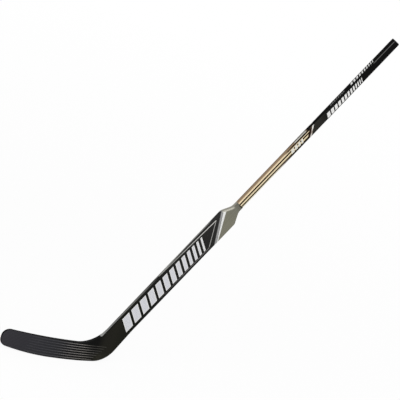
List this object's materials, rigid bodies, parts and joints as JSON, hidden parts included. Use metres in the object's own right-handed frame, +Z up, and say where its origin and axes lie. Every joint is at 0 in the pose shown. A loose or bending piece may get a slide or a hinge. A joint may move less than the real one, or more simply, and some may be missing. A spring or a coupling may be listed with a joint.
{
  "type": "hockey goalie stick",
  "caption": "Goaltender's hockey stick: straight rounded shaft, wide foam-core paddle with sloping shoulders, rounded heel and a blade curved to one side.",
  "frame": {"origin": "on the flat of the blade's sole, in the middle plane of the shaft, 150 mm along the sole from the heel's sharp corner", "axes": "+Z up in the playing position, +X from the toe to the shaft's side, +Y the way that the toe curves; the convex back looks along -Y"},
  "size_m": [1.1436, 0.0627, 1.2956],
  "materials": {
    "core_wood": "bare aspen, glued inside",
    "shaft_edge": "birch ply, painted and clear-coated",
    "shaft_face": "graphite laminate, painted gold and black, clear-coated",
    "paddle_edge": "hardwood, painted",
    "paddle_face": "graphite laminate, painted black, clear-coated",
    "foam": "rigid foam, sealed inside",
    "heel_wood": "hardwood, painted black outside",
    "blade_skin": "woven fibre under black tinted resin",
    "blade_edging": "hard black plastic",
    "glass_fibre": "glass-fibre rib, sealed inside"
  },
  "bodies": {
    "root": {"shaft_core": "core_wood", "shaft_upper_edge_ply": "shaft_edge", "shaft_lower_edge_ply": "shaft_edge", "shaft_front_laminate": "shaft_face", "shaft_back_laminate": "shaft_face", "paddle_upper_foam_core": "foam", "paddle_lower_foam_core": "foam", "paddle_upper_edge_rail": "paddle_edge", "paddle_lower_edge_rail": "paddle_edge", "paddle_upper_shoulder_block": "paddle_edge", "paddle_lower_shoulder_block": "paddle_edge", "paddle_front_laminate": "paddle_face", "paddle_back_laminate": "paddle_face", "heel_block": "heel_wood", "blade_upper_foam_core": "foam", "blade_lower_foam_core": "foam", "blade_stiffening_rib": "glass_fibre", "blade_front_skin": "blade_skin", "blade_back_skin": "blade_skin", "blade_top_rail": "blade_edging", "blade_sole_strip": "blade_edging", "blade_toe_cap": "blade_edging"}
  },
  "joints": []
}
